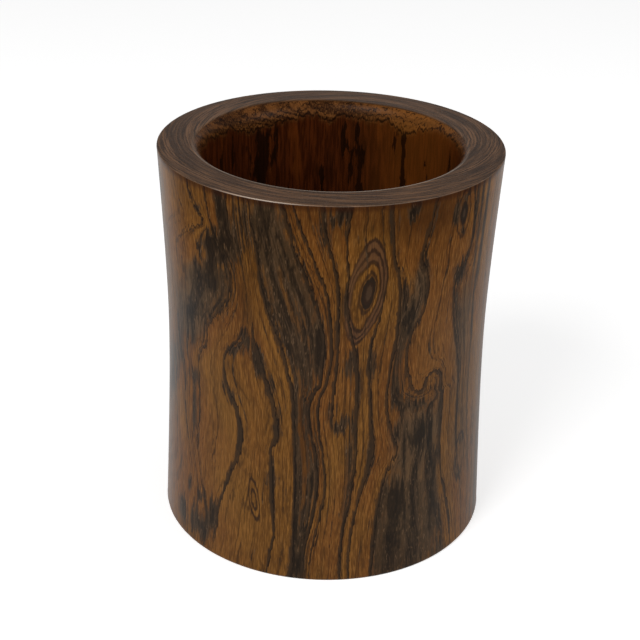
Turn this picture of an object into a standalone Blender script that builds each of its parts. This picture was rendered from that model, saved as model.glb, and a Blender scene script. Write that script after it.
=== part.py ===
"""Brush pot turned from one log section, with a rebated base board.

The wall is a waisted tube of dark hardwood, turned around the log's own pith,
so that its growth rings run around the rim. The log's centre is bored out.
A stepped base board sits in a rebate in the underside, pinned up into the
wall, and a plug fills the hole at the middle of the board.

Units are metres, +Z is up, and the origin is the centre of the foot, on the
surface that the pot stands on.
"""

import math

import bmesh
import bpy
from mathutils import Vector

# Wall: overall size and the waisted outside.
HEIGHT = 0.165
RIM_RADIUS = 0.070
WAIST_Z = 0.087
FLARE_SLOPE_ABOVE = 0.058
FLARE_SLOPE_BELOW = 0.049
WAIST_BLEND = 0.0019
RIM_EDGE_ROUND = 0.0007
FOOT_EDGE_ROUND = 0.0012

# Wall: bore, lip at the mouth and rebate in the underside.
BORE_RADIUS = 0.052
LIP_WIDTH = 0.0035
LIP_DEPTH = 0.008
REBATE_RADIUS = 0.059
FOOT_INNER_ROUND = 0.0008

# Base board: a flange in the rebate and a register in the bore.
FOOT_RECESS = 0.003
FLANGE_THICKNESS = 0.006
REGISTER_THICKNESS = 0.006
BOARD_EDGE_CHAMFER = 0.0006

# Plug at the middle of the board.
PLUG_RADIUS_BOTTOM = 0.0095
PLUG_RADIUS_TOP = 0.0090

# Pins through the flange into the wall.
PIN_COUNT = 4
PIN_RADIUS = 0.00125
PIN_CIRCLE_RADIUS = 0.0555
PIN_LENGTH = 0.016
PIN_CHAMFER = 0.0003
FIRST_PIN_ANGLE = math.radians(45.0)

# Clearance between touching pieces.
GAP = 0.0003

# Facets.
WALL_SEGMENTS = 96
PLUG_SEGMENTS = 48
PIN_SEGMENTS = 16
OUTSIDE_STEPS = 12
LIP_STEPS = 5
ROUND_STEPS = 3
SMOOTH_ANGLE = math.radians(35.0)

FLANGE_TOP_Z = FOOT_RECESS + FLANGE_THICKNESS
BOARD_TOP_Z = FLANGE_TOP_Z + REGISTER_THICKNESS
SHOULDER_Z = FLANGE_TOP_Z + GAP


def clear_objects():
    """Remove every object that is already in the file."""
    for obj in list(bpy.data.objects):
        bpy.data.objects.remove(obj, do_unlink=True)


def make_material(name, colour, roughness):
    """A plain wood finish: linear RGB colour, given roughness, not metallic."""
    material = bpy.data.materials.new(name)
    material.use_nodes = True
    shader = material.node_tree.nodes["Principled BSDF"]
    shader.inputs["Base Color"].default_value = (*colour, 1.0)
    shader.inputs["Roughness"].default_value = roughness
    shader.inputs["Metallic"].default_value = 0.0
    return material


def swell(z):
    """How far the outside stands out from the waist at height z.

    Straight flares above and below meet at the waist in a hyperbolic blend.
    """
    slope = FLARE_SLOPE_ABOVE if z > WAIST_Z else FLARE_SLOPE_BELOW
    return math.hypot(WAIST_BLEND, slope * (z - WAIST_Z)) - WAIST_BLEND


def outside_radius(z):
    """Radius of the wall's outside at height z."""
    return RIM_RADIUS - swell(HEIGHT) + swell(z)


def arc(centre_r, centre_z, radius_r, radius_z, start, end, steps):
    """Points (r, z) along an elliptical arc, from start to end in degrees."""
    points = []
    for step in range(steps + 1):
        angle = math.radians(start + (end - start) * step / steps)
        point_r = centre_r + radius_r * math.cos(angle)
        point_z = centre_z + radius_z * math.sin(angle)
        points.append((point_r, point_z))
    return points


def wall_outline():
    """Closed outline (r, z) of the wall, counter-clockwise from the foot."""
    foot_radius = outside_radius(0.0)
    outline = arc(
        foot_radius - FOOT_EDGE_ROUND, FOOT_EDGE_ROUND,
        FOOT_EDGE_ROUND, FOOT_EDGE_ROUND, -90.0, 0.0, ROUND_STEPS)
    low = FOOT_EDGE_ROUND
    high = HEIGHT - RIM_EDGE_ROUND
    for step in range(1, OUTSIDE_STEPS):
        z = low + (high - low) * step / OUTSIDE_STEPS
        outline.append((outside_radius(z), z))
    outline += arc(
        RIM_RADIUS - RIM_EDGE_ROUND, HEIGHT - RIM_EDGE_ROUND,
        RIM_EDGE_ROUND, RIM_EDGE_ROUND, 0.0, 90.0, ROUND_STEPS)
    outline += arc(
        BORE_RADIUS + LIP_WIDTH, HEIGHT - LIP_DEPTH,
        LIP_WIDTH, LIP_DEPTH, 90.0, 180.0, LIP_STEPS)
    outline.append((BORE_RADIUS, SHOULDER_Z))
    outline.append((REBATE_RADIUS, SHOULDER_Z))
    outline += arc(
        REBATE_RADIUS + FOOT_INNER_ROUND, FOOT_INNER_ROUND,
        FOOT_INNER_ROUND, FOOT_INNER_ROUND, 180.0, 270.0, ROUND_STEPS)
    return outline


def board_outline():
    """Closed outline (r, z) of the base board around its centre hole."""
    flange_radius = REBATE_RADIUS - GAP
    register_radius = BORE_RADIUS - GAP
    hole_bottom = PLUG_RADIUS_BOTTOM + GAP
    hole_top = PLUG_RADIUS_TOP + GAP
    return [
        (hole_bottom, FOOT_RECESS),
        (flange_radius - BOARD_EDGE_CHAMFER, FOOT_RECESS),
        (flange_radius, FOOT_RECESS + BOARD_EDGE_CHAMFER),
        (flange_radius, FLANGE_TOP_Z),
        (register_radius, FLANGE_TOP_Z),
        (register_radius, BOARD_TOP_Z - BOARD_EDGE_CHAMFER),
        (register_radius - BOARD_EDGE_CHAMFER, BOARD_TOP_Z),
        (hole_top, BOARD_TOP_Z),
    ]


def turn(bm, outline, segments):
    """Turn an outline of (r, z) points into a surface around Z."""
    verts = [bm.verts.new((r, 0.0, z)) for r, z in outline]
    edges = [bm.edges.new((verts[i - 1], verts[i])) for i in range(len(verts))]
    bmesh.ops.spin(
        bm, geom=verts + edges, cent=(0.0, 0.0, 0.0), axis=(0.0, 0.0, 1.0),
        angle=2.0 * math.pi, steps=segments, use_merge=True)
    bmesh.ops.remove_doubles(bm, verts=bm.verts, dist=0.000001)
    bmesh.ops.recalc_face_normals(bm, faces=bm.faces)


def add_rod(bm, centre, radius_bottom, radius_top, low, high, segments):
    """Add a closed upright rod, tapered between its two radii."""
    middle = Vector((centre[0], centre[1], (low + high) / 2.0))
    made = bmesh.ops.create_cone(
        bm, cap_ends=True, cap_tris=False, segments=segments,
        radius1=radius_bottom, radius2=radius_top, depth=high - low)
    bmesh.ops.translate(bm, verts=made["verts"], vec=middle)


def new_object(name, bm, material):
    """Store a bmesh as a smooth-shaded object with its own material."""
    mesh = bpy.data.meshes.new(name)
    bm.to_mesh(mesh)
    bm.free()
    mesh.shade_smooth()
    mesh.set_sharp_from_angle(angle=SMOOTH_ANGLE)
    obj = bpy.data.objects.new(name, mesh)
    bpy.context.scene.collection.objects.link(obj)
    if material is not None:
        mesh.materials.append(material)
    return obj


def cut(obj, cutter):
    """Subtract the cutter with a Boolean modifier that stays on the object."""
    modifier = obj.modifiers.new("cut_" + cutter.name, "BOOLEAN")
    modifier.operation = "DIFFERENCE"
    modifier.solver = "EXACT"
    modifier.object = cutter


def pin_centres():
    """Centres (x, y) of the pins, evenly around the pin circle."""
    centres = []
    for index in range(PIN_COUNT):
        angle = FIRST_PIN_ANGLE + 2.0 * math.pi * index / PIN_COUNT
        centres.append((PIN_CIRCLE_RADIUS * math.cos(angle), PIN_CIRCLE_RADIUS * math.sin(angle)))
    return centres


def make_pin_drills():
    """Hidden cutter for the pin holes, a rod for each pin."""
    bm = bmesh.new()
    low = FOOT_RECESS / 2.0
    high = FOOT_RECESS + PIN_LENGTH + GAP
    radius = PIN_RADIUS + GAP
    for centre in pin_centres():
        add_rod(bm, centre, radius, radius, low, high, PIN_SEGMENTS)
    drills = new_object("pin_drills", bm, None)
    drills.hide_render = True
    drills.display_type = "WIRE"
    return drills


def make_turned_wall(drills):
    """The log section: waisted outside, bore, lip, rebate and pin holes."""
    bm = bmesh.new()
    turn(bm, wall_outline(), WALL_SEGMENTS)
    material = make_material("wall_wood", (0.105, 0.046, 0.015), 0.34)
    cut(new_object("turned_wall", bm, material), drills)


def make_base_board(drills):
    """The stepped disc that closes the bore, bored for its plug and pins."""
    bm = bmesh.new()
    turn(bm, board_outline(), WALL_SEGMENTS)
    material = make_material("base_wood", (0.088, 0.036, 0.012), 0.45)
    cut(new_object("base_board", bm, material), drills)


def make_centre_plug():
    """The tapered plug at the middle of the base board."""
    bm = bmesh.new()
    add_rod(
        bm, (0.0, 0.0), PLUG_RADIUS_BOTTOM, PLUG_RADIUS_TOP,
        FOOT_RECESS, BOARD_TOP_Z, PLUG_SEGMENTS)
    new_object("centre_plug", bm, make_material("plug_wood", (0.060, 0.024, 0.009), 0.45))


def make_base_pins():
    """Bamboo pins that hold the base board up against the shoulder."""
    material = make_material("pin_bamboo", (0.42, 0.27, 0.11), 0.5)
    tip_z = FOOT_RECESS + PIN_LENGTH
    for number, centre in enumerate(pin_centres(), start=1):
        bm = bmesh.new()
        add_rod(bm, centre, PIN_RADIUS, PIN_RADIUS, FOOT_RECESS, tip_z, PIN_SEGMENTS)
        tip_edges = [edge for edge in bm.edges if min(vert.co.z for vert in edge.verts) > tip_z - GAP]
        bmesh.ops.bevel(bm, geom=tip_edges, offset=PIN_CHAMFER, segments=1, affect="EDGES")
        new_object("base_pin_" + str(number), bm, material)


def main():
    clear_objects()
    drills = make_pin_drills()
    make_turned_wall(drills)
    make_base_board(drills)
    make_centre_plug()
    make_base_pins()


main()
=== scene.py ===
"""Looks for a turned hardwood brush pot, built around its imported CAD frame.

The wall is one log section of a dark, strongly figured hardwood. Its figure is
a growth field: guide lines give the run of the grain around and up the wall,
and eyes, clouds and dark streaks lie along them. The field is kept on the
mesh's vertices, and the material's nodes turn it into lines, fibre and colour.

Metres, +Z up. Angles around the pot are in degrees from its front (-Y), and
grow towards +X. Heights on the figure are in millimetres.
"""

import math

import bpy
import numpy as np
from mathutils import Matrix, Vector


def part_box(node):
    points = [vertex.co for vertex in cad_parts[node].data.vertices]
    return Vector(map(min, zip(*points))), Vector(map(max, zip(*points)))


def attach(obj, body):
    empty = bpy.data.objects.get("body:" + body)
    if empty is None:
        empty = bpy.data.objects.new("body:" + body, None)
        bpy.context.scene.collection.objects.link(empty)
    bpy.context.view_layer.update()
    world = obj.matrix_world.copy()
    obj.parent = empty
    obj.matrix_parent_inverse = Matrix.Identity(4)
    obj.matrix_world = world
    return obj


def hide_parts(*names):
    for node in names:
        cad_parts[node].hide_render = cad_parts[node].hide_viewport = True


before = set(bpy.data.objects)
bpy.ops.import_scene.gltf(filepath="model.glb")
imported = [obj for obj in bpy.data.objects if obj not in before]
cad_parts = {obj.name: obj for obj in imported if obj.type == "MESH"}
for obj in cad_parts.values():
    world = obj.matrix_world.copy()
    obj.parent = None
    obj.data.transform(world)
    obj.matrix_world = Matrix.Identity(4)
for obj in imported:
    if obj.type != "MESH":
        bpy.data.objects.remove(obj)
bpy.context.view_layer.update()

MM = 0.001

# ---------------------------------------------------------------- dimensions

WALL_LOW, WALL_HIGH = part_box("turned_wall")
BOARD_LOW, BOARD_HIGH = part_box("base_board")
PLUG_LOW, PLUG_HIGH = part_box("centre_plug")
PIN_LOW, PIN_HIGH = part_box("base_pin_1")
HEIGHT = WALL_HIGH.z - WALL_LOW.z
RIM_RADIUS = (WALL_HIGH.x - WALL_LOW.x) / 2.0

# The outside: two straight flares, blended at the waist.
WAIST_Z = 0.087
FLARE_SLOPE_ABOVE = 0.058
FLARE_SLOPE_BELOW = 0.049
WAIST_BLEND = 0.0019
RIM_EDGE_ROUND = 0.00045
FOOT_EDGE_ROUND = 0.0012

# The mouth and the underside.
BORE_RADIUS = 0.052
LIP_WIDTH = 0.0033
LIP_DEPTH = 0.0075
REBATE_RADIUS = 0.059
SHOULDER_Z = 0.0093
FOOT_INNER_ROUND = 0.0008

# The lip is worn unevenly, and it is widest at the back left.
LIP_WEAR_WIDTH = 0.0007
LIP_WEAR_DEPTH = 0.0012
LIP_WIDE_EXTRA = 0.0028
LIP_WIDE_ANGLE = -150.0
LIP_WIDE_HALF_WIDTH = 28.0

# Points around each piece.
WALL_SEGMENTS = 432
DISC_SEGMENTS = 144
PLUG_SEGMENTS = 96
PIN_SEGMENTS = 24
SMOOTH_ANGLE = math.radians(35.0)

# Rows of points on the wall. The bore has finer rows down to the fine share.
ROUND_STEPS = 4
OUTSIDE_STEPS = 121
RIM_STEPS = 15
RIM_FIRST_SHARE = 0.015
RIM_LAST_SHARE = 0.98
LIP_STEPS = 14
BORE_FINE_SHARE = 0.42
BORE_UPPER_STEPS = 39
BORE_LOWER_STEPS = 13

# How far around a rounded edge, in radians: where the rim's wood begins on the
# outer edge, and where the bore's wood begins and the painted highlight and its extra gloss end on the lip.
RIM_TURN = 0.7
LIP_TURN = 0.3
LIP_EDGE_TURN = 0.22

# The base board: a flange under the shoulder, and a register in the bore.
FLANGE_TOP_Z = 0.009
REGISTER_RADIUS = 0.0517
BOARD_HOLE_LOW = 0.00956
BOARD_HOLE_HIGH = 0.00906
BOARD_EDGE_ROUND = 0.0006
TOOL_PITCH = 0.0016
TOOL_DEPTH = 0.00006
TOOL_STEP = 0.0004

# The plug and the pins.
PLUG_TOP_RADIUS = 0.0090
PLUG_EDGE_ROUND = 0.0004
PLUG_INNER_ROW = 0.0006
PIN_CIRCLE_RADIUS = 0.0555
PIN_ANGLES = (45.0, 135.0, 225.0, 315.0)
PIN_CLEARANCE = 0.0002
DRILL_OVERRUN = 0.004

# Middle of the growth rings seen on the rim: x, y.
PITH = (0.007, 0.010)

# Where the painted shade under the rim begins and where it is full, in mm: a dark reddish band at the top of
# the wall.
TOP_SHADE_BAND = (161.5, 164.0)

# The studio. The camera's lens is in mm, and its angles are in degrees.
FLOOR_HALF_SIZE = 30.0
POT_MIDDLE = Vector((0.0, 0.0, 0.08))
CAMERA_PLACE = (0.0, -0.5434, 0.3531)
CAMERA_TILT = 26.27
CAMERA_PAN = 0.294
CAMERA_ROLL = 1.398
CAMERA_SENSOR = 36.0
CAMERA_LENS = 79.7

# ------------------------------------------------------------------- figure

# Guide lines of the grain, from left to right. Each point is (height mm, angle
# deg, ink), top down. One growth line of the figure runs along each guide, and
# its ink is how dark and wide it is there: 1 is a line about 1 mm wide.
GUIDES = [
    [(165, -50, 0.9), (158, -48.3, 1), (153.5, -45, 1.1), (150, -42.6, 0.9), (148, -43.6, 0.7),
     (145, -49, 0.6), (141, -54.5, 0.6), (136, -59, 0.5), (120, -60.5, 0.2), (105, -61, 0.2),
     (88, -60, 0.5), (78, -58, 0.8), (65, -58.4, 0.9), (55, -57, 0.8), (45, -54.5, 0.5),
     (30, -52, 0.2), (20, -54, 0.3), (0, -55, 0.3)],
    [(165, -42, 0.9), (157, -41.5, 0.8), (150, -40.3, 0.8), (146, -39, 0.4), (140, -35.5, 0),
     (134, -32.6, 0.5), (129, -32, 1), (123, -32.8, 1), (119, -34.4, 1.2), (115.5, -37, 1.4),
     (112, -39, 1.4), (108.5, -41.8, 1.2), (105, -43.6, 1), (100, -44, 0.9), (95, -45.4, 0.9),
     (91, -48.3, 0.9), (80, -49, 0.9), (60, -49.2, 0.9), (50, -50.5, 0.5), (40, -49, 0.2),
     (28, -46, 0.5), (18, -44, 0.5), (0, -46, 0.2)],
    [(165, -33.2, 1), (157, -33, 1), (150, -32.3, 0.8), (142, -30.5, 0.3), (130, -28, 0),
     (112, -27.5, 0.1), (106, -29, 1), (98, -35, 1.2), (88, -36.4, 0.9), (80, -34, 1.7),
     (72, -30.8, 2), (62, -29, 2.1), (52, -30.5, 1.7), (44, -33, 1.2), (34, -36, 1), (26, -38.5, 1.3),
     (12, -40, 0.5), (0, -42, 0.2)],
    [(165, -28.5, 0.6), (150, -27.5, 0.5), (130, -26, 0.1), (112, -25.5, 0.2), (104, -24, 1.2),
     (97, -22, 1.7), (86, -19, 1.7), (76, -16.5, 2), (66, -15.8, 2), (58, -17.8, 0.9),
     (48, -17.2, 1.6), (36, -16.8, 1.6), (20, -15.8, 0.8), (8, -17.5, 1), (0, -18, 0.9)],
    [(165, -25.5, 0.5), (154, -25, 0.8), (146, -23.6, 1.2), (135, -22.6, 1.3), (127, -21.6, 1.3),
     (120, -20, 1.3), (113, -17.8, 1.4), (106, -15.6, 1.4), (98, -13.4, 1.4), (86, -10.8, 1.3),
     (72, -10, 1), (55, -9.5, 1.2), (38, -9.5, 1), (20, -9.5, 1), (8, -9.5, 1.4), (0, -10.5, 1.6)],
    [(165, -14, 1), (150, -10.5, 0.8), (138, -7, 0.8), (126, -3, 0.9), (112, -0.2, 1.1),
     (98, -0.4, 1.2), (89, -1.2, 1.1), (84, -4.2, 0.9), (72, -4.5, 0.8), (60, -2.2, 0.9),
     (45, -1.2, 0.8), (30, -2.6, 1), (15, -5.2, 1.1), (0, -5.4, 1)],
    [(165, -11.5, 0.6), (150, -7, 0.9), (138, -3, 0.9), (126, 0.2, 0.8), (112, 1.6, 0.8),
     (100, 2, 0.7), (90, -0.2, 0.9), (82, -2, 0.9), (72, -2, 0.8), (60, -0.6, 0.8), (45, 0.6, 0.9),
     (30, -0.8, 0.9), (15, -3.6, 0.8), (0, -4.6, 0.5)],
    [(165, -2, 1.2), (152, -0.6, 1), (140, 2.2, 0.9), (128, 3.8, 0.9), (115, 3.4, 0.9), (103, 3, 0.9),
     (90, 2.8, 0.8), (80, 2.6, 0.7), (73, 2.4, 0.5), (68, 3, 0.1), (55, 4, 0), (40, 4.5, 0),
     (20, 4, 0), (0, 3, 0.1)],
    [(165, 6.5, 0.9), (152, 5.2, 0.9), (140, 5.8, 0.9), (128, 5.6, 0.9), (115, 7, 0.8),
     (105, 9.5, 1.2), (95, 10.6, 1.3), (80, 10.8, 1.1), (65, 10.9, 1.1), (50, 10.6, 1.1),
     (40, 9.6, 1.2), (30, 8.1, 1.2), (20, 6.8, 1.2), (10, 6.3, 1.2), (0, 6.6, 1)],
    [(165, 16.9, 0.2), (155, 17.4, 0.2), (142, 18.8, 0.3), (128, 18.8, 0.4), (115, 16.5, 0.8),
     (105, 14.5, 0.9), (95, 14, 1.1), (85, 15, 1.1), (74, 15.6, 1.2), (62, 16.5, 1.9), (52, 15, 1.7),
     (42, 12.8, 1.3), (30, 10.5, 1.1), (14, 9.2, 1.1), (0, 9, 0.9)],
    [(165, 17.9, 0.9), (155, 18.6, 1.1), (142, 20.4, 1.2), (132, 22.9, 1.2), (118, 23.6, 1.2),
     (106, 23.4, 1.2), (96, 22, 1.1), (85, 21, 1.1), (76, 21, 1.4), (66, 23, 1.5), (57, 25.4, 1),
     (50, 22, 1), (40, 19.6, 1.2), (26, 18, 1.2), (12, 17.2, 1), (0, 16.6, 0.9)],
    [(165, 34.6, 1.2), (157, 33.2, 1.4), (147, 31.2, 1.6), (140, 30.2, 1.5), (133, 33.2, 1.1),
     (124, 34.2, 1), (116, 32, 0.9), (106, 27.8, 1.1), (97, 27.4, 1.1), (89, 29.2, 1.4),
     (81.5, 34, 1.5), (78.5, 42.6, 1.4), (76, 44.1, 1.4), (70, 44.6, 1.4), (56, 44.2, 1.1),
     (42, 45.6, 1), (30, 48, 0.8), (18, 50.8, 1), (8, 52.2, 0.6), (0, 53, 0.2)],
    [(165, 51, 0.9), (150, 53.5, 1), (136, 52, 1), (127, 46.6, 0.8), (116, 46.6, 1), (106, 48.2, 1.4),
     (96, 51, 1.4), (86, 53, 1.2), (72, 53.2, 1), (56, 53.6, 0.8), (44, 55, 0.6), (33, 57, 0.5),
     (20, 59, 0.4), (0, 60, 0.3)],
    [(165, 61, 1), (150, 60.5, 1.2), (135, 60, 1), (115, 59, 0.8), (95, 60.5, 0.8), (75, 60.5, 0.7),
     (55, 61.5, 0.6), (40, 63, 0.6), (20, 64, 0.5), (0, 64, 0.4)],
]

# The figure of the back is the front's, turned upside down, mirrored and
# stretched by this much, with one more guide between each two.
BACK_STRETCH = 1.75
BACK_GUIDES = 2 * len(GUIDES) - 1
LEVELS = len(GUIDES) + BACK_GUIDES

# Eyes, where a knot lies just under the surface: (angle deg, height mm,
# half-widths left and right deg, half-heights up and down mm, lean deg per mm,
# bend deg per mm2, rings, dark core's share of the size, crescent). A crescent
# of 1 pushes the rings outwards on the lower left, and leaves clear wood there.
EYES = [
    (13.2, 129, 7, 5.5, 22.5, 21, 0.112, -0.0033, 5, 0.34, 1),
    (-23.6, 34, 1.9, 1.9, 10, 9.5, -0.12, 0, 2, 0.12, 0),
    (46.9, 154.5, 3.4, 3, 10, 9.5, 0, 0, 2, 0.5, 0),
    (56.8, 43, 3.4, 3.4, 10, 11.5, 0.08, 0, 1, 0, 0),
]

# How a crescent moves the rings: (distance from the eye's centre, distance shown).
CRESCENT = [
    (0.0, 0.0), (0.42, 0.42), (0.50, 0.48), (0.72, 0.53), (0.80, 0.62), (0.90, 0.80), (1.0, 1.0), (3.0, 3.0)]

# Dark clouds: (angle deg, height mm, half-width deg, half-height mm, lean deg
# per mm, strength). Strength 1 is nearly black, and 0.5 is dark strands.
CLOUDS = [
    # Upper left: black seam, the patch below it and its tail.
    (-34.4, 152, 2.4, 8, -0.1, 1.6), (-36, 161, 1.8, 6, -0.1, 1.5),
    (-39.4, 142.5, 5, 5.2, 0.45, 1.5), (-41, 131, 2.2, 10, 0.05, 1.2),
    (-46.5, 124, 8, 8.5, 0.15, 1.05), (-51.5, 111, 7, 7, 0.5, 0.5),
    (-44.5, 110, 4, 5, 0.5, 0.5), (-57, 103, 6, 9, 0.4, 0.55),
    (-64, 88, 6, 14, 0.25, 0.4), (-36.2, 125, 3.6, 12, 0.05, 0.75),
    (-31.2, 141, 3.2, 7.5, 0.1, 0.72), (-28.5, 151, 5, 12, 0, 0.38),
    (-45.3, 155, 1.6, 2.2, 0, 0.8), (-46.6, 138.5, 0.7, 6, -0.35, 0.6),
    (-36, 137, 3, 4, 0.3, 0.9),
    # Second dark column, from the top leaning right.
    (-21.5, 158, 5, 10, -0.1, 0.62), (-17, 158, 4, 9, -0.1, 0.4),
    (-20.5, 145, 3.5, 9, -0.2, 0.5), (-13.5, 146, 4.5, 9, -0.25, 0.5),
    (-9.5, 133, 5, 10, -0.3, 0.6), (-17.5, 128, 3, 12, -0.22, 0.4),
    (-5.5, 120, 4, 10, -0.25, 0.5), (-12.5, 112, 4, 12, -0.2, 0.3),
    (-2, 105, 1.9, 10, 0, 1.3), (-7.5, 100, 3.4, 12, -0.15, 0.5),
    # Strands of the central column.
    (-7.5, 80, 3.4, 16, 0, 0.32), (-6.2, 48, 3.6, 22, 0, 0.22),
    (-2.6, 50, 1.3, 17, 0.02, 0.75), (-6.8, 18, 3.2, 14, 0.02, 0.7),
    (-8, 4, 3, 8, 0.05, 0.95),
    # Right of the eye, down to the hook.
    (31.4, 135.5, 2.6, 6, 0, 0.75), (33.2, 125, 1, 6, 0, 0.6),
    (28.2, 117.5, 3.4, 6, 0.1, 0.95), (28.4, 109, 1.4, 4, 0, 0.8),
    (29, 127, 5.5, 5, 0, 0.3), (25.2, 105, 2, 7, 0.1, 0.45),
    (24, 88, 2, 10, 0, 0.45), (26.4, 79.5, 2.4, 5.5, -0.3, 0.8),
    (33.6, 76.2, 4.6, 2.6, 0, 0.9),
    # Lower right.
    (34.8, 61.5, 4.2, 9, 0, 0.9), (25.4, 64, 1.6, 6, 0, 0.8),
    (28.6, 58, 0.9, 13, 0, 0.95), (39.6, 63, 0.7, 14, 0, 0.95),
    (42, 48.5, 2, 6, 0, 0.9), (43.9, 72, 1.2, 12, 0, 0.65),
    (26, 36, 4.6, 10, -0.1, 0.85), (24, 15, 6.5, 18, 0, 0.6),
    (34, 34, 5, 14, 0, 0.35), (35, 10, 6, 18, 0, 0.3),
    (41.5, 30, 2.6, 20, 0.03, 0.65),
    # Right edge.
    (48.8, 130, 3.4, 4.6, 0, 1.15), (43.6, 156.5, 1.8, 6, 0, 0.9),
    (47, 146.5, 1.6, 2.4, -0.3, 0.9), (46.8, 162, 2.2, 2, 0, 0.8),
    (53.6, 154, 0.9, 14, 0, 0.8), (56.6, 142, 0.9, 26, 0, 0.85),
    (60, 142, 1.5, 22, 0, 0.8), (49.2, 112, 2, 13, -0.1, 0.75),
    (52.5, 92, 1.5, 9, -0.15, 0.5), (56.8, 120, 0.9, 14, 0, 0.4),
    (53.8, 68, 0.9, 14, 0, 0.4), (56.6, 33, 2.2, 2.6, 0, 0.9),
    (54.3, 38.5, 1.1, 5, -0.1, 1), (57, 50.5, 2.4, 2.6, 0, 0.55),
    # Patches between.
    (8.4, 99, 1.8, 5.5, 0, 1), (5.8, 126, 0.9, 8, 0, 0.8),
    (15.2, 100, 1.6, 7, 0, 0.8), (11.5, 88, 1.6, 9, 0, 0.4),
    (15.8, 60, 1.5, 10, 0.05, 0.85), (9.3, 58, 1.5, 17, 0.04, 0.75),
    (8, 34, 1.6, 10, 0.08, 0.6), (6.6, 73, 3.2, 3.6, 0.15, 0.85),
    (2.2, 75, 0.8, 6, -0.1, 0.7), (3.4, 162, 2.4, 4, 0.3, 1.4),
    (26, 161, 1.9, 3.6, 0, 1.4), (19.2, 157, 1, 8, -0.1, 0.4),
    (-1, 156, 2, 10, 0, 0.45), (-31.5, 99.5, 4.5, 2.4, 0.9, 0.8),
    (-27, 105, 1.8, 3.5, 0, 0.95), (-22.5, 96, 2.6, 6, -0.1, 0.95),
    (-18.5, 86, 1.8, 6, -0.1, 0.75), (-16, 70, 1.4, 7, 0, 0.8),
    (-17.4, 46, 1.4, 8, 0, 0.9), (-29.6, 64, 1.3, 8, 0, 0.75),
    (-33, 79, 1.5, 5, -0.3, 0.7),
    # Lower left.
    (-40.8, 20, 2.4, 8, 0, 1), (-46.8, 25.5, 1.8, 3.2, 0, 0.9),
    (-44.5, 12, 3.2, 8, 0.2, 0.8), (-50, 9, 4.5, 6, 0, 0.95),
    (-49.5, 17, 1.2, 6, 0, 0.7), (-54, 27, 1.6, 3.5, 0, 0.7),
    (-60, 12, 4, 7, 0, 0.5), (-51.6, 66, 1.4, 14, 0, 0.75),
    (-51.8, 79, 2.2, 3.5, 0, 0.85), (-36.6, 84, 0.9, 6, 0, 0.6),
]

# Dark bands between guides: (left guide, right guide, low mm, high mm, strength).
BANDS = [
    (4.1, 5, 92, 170, 0.34), (4, 4.29, 8, 90, 0.75),
    (4.56, 4.78, 8, 90, 0.75), (10, 10.95, 76, 104, 0.3),
    (10.03, 10.95, 104, 131, 0.4), (10.05, 10.95, 46, 73, 0.5),
    (10, 10.92, -8, 45, 0.55), (2, 4, 150, 170, 0.12),
    (0.25, 0.98, 92, 117, 0.35),
]

# Where the colour is made deeper and redder, most of all near the top: (angle deg,
# height mm, half-width deg, half-height mm, amount). Below 0 it is paler.
TONES = [
    (33, 158, 20, 12, 0.95), (50, 150, 7, 12, -0.35),
    (-46, 156, 12, 12, 0.35), (0, 160, 18, 8, 0.45),
    (40, 90, 12, 40, -0.3), (-20, 140, 14, 26, 0.35),
    (-36, 50, 14, 60, -0.35), (4, 40, 10, 50, -0.2),
    (-28, 118, 7, 24, 0.4), (-6, 60, 3.4, 36, 0.75),
]

# Where the wall is greyed: (angle deg, height mm, half-width deg, half-height mm, amount).
# Nearer the front these are grey patches in the wood; towards the two sides, most of all in the two tall
# areas near 80 deg either way, the greying is painted sheen.
GREYING_AND_SHEEN = [
    (-47, 122, 7.5, 9, 1.5), (-56, 106, 8, 10, 1.2),
    (-50, 104, 4.5, 7, 0.6), (32.5, 61, 8, 17, 1.1),
    (42, 66, 2.4, 16, 0.6), (33, 25, 12, 22, 0.9),
    (31.2, 132, 3.6, 8, 1.1), (28.5, 117, 3.6, 7, 1),
    (55, 60, 9, 50, 0.55), (53, 108, 5, 18, 0.7),
    (46.5, 155, 3, 9, 0.6), (-17, 140, 5, 20, 0.6),
    (80, 80, 14, 120, 0.7), (-78, 90, 14, 120, 0.7),
]

# Depth of the torn dark contour below the rim, around the bore: (angle deg, mm).
LIP_LINE = [
    (-180, 8.5), (-172, 6), (-160, 6.5), (-148, 8.5), (-138, 10), (-125, 6), (-100, 4), (-60, 6),
    (0, 5), (60, 4), (112, 3), (122, 2), (133, 6), (143, 10), (152, 6), (166, 7), (175, 5.5),
    (180, 8.5),
]

# Dark streaks down the bore: (angle deg, half-width deg, top mm, bottom mm, strength).
BORE_STREAKS = [
    (-145, 4.5, 156, 100, 0.9), (-152.5, 2, 157, 136, 0.75),
    (-137, 2.5, 150, 116, 0.6), (-126, 2, 158, 138, 0.6),
    (-118, 2.5, 152, 128, 0.7), (174.5, 1.8, 158, 140, 0.9),
    (170.5, 1.4, 146, 128, 0.8), (167.5, 1.4, 159, 146, 0.8),
    (165, 2.6, 148, 112, 0.8), (143, 1.8, 157, 100, 0.9),
    (148, 1.6, 157, 145, 0.7), (128, 1.5, 148, 110, 0.6),
    (-176, 1.8, 136, 118, 0.85), (108, 2, 158, 120, 0.8),
    (-100, 3, 156, 120, 0.7), (-80, 3, 150, 60, 0.7),
    (60, 4, 154, 40, 0.8), (20, 3, 150, 60, 0.6),
    (-30, 4.5, 152, 30, 0.8),
]

# The paler side of the bore: angle and half-width, deg.
BORE_PALE_ANGLE = 130.0
BORE_PALE_HALF_WIDTH = 32.0

# Bumps pull growth lines over a point: (angle, height, half-width, half-height, levels).
BUMPS = [
    (40.4, 84.5, 4, 6.5, -0.88),
]

# The fields are worked out at this many even heights. Guides stay some degrees
# apart, and the level is blurred over a few of the wall's columns.
FIELD_ROWS = 331
LEAST_SPACING = 0.15
BLUR_REACH = 3
BLUR_COLUMNS = 1.1

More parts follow.
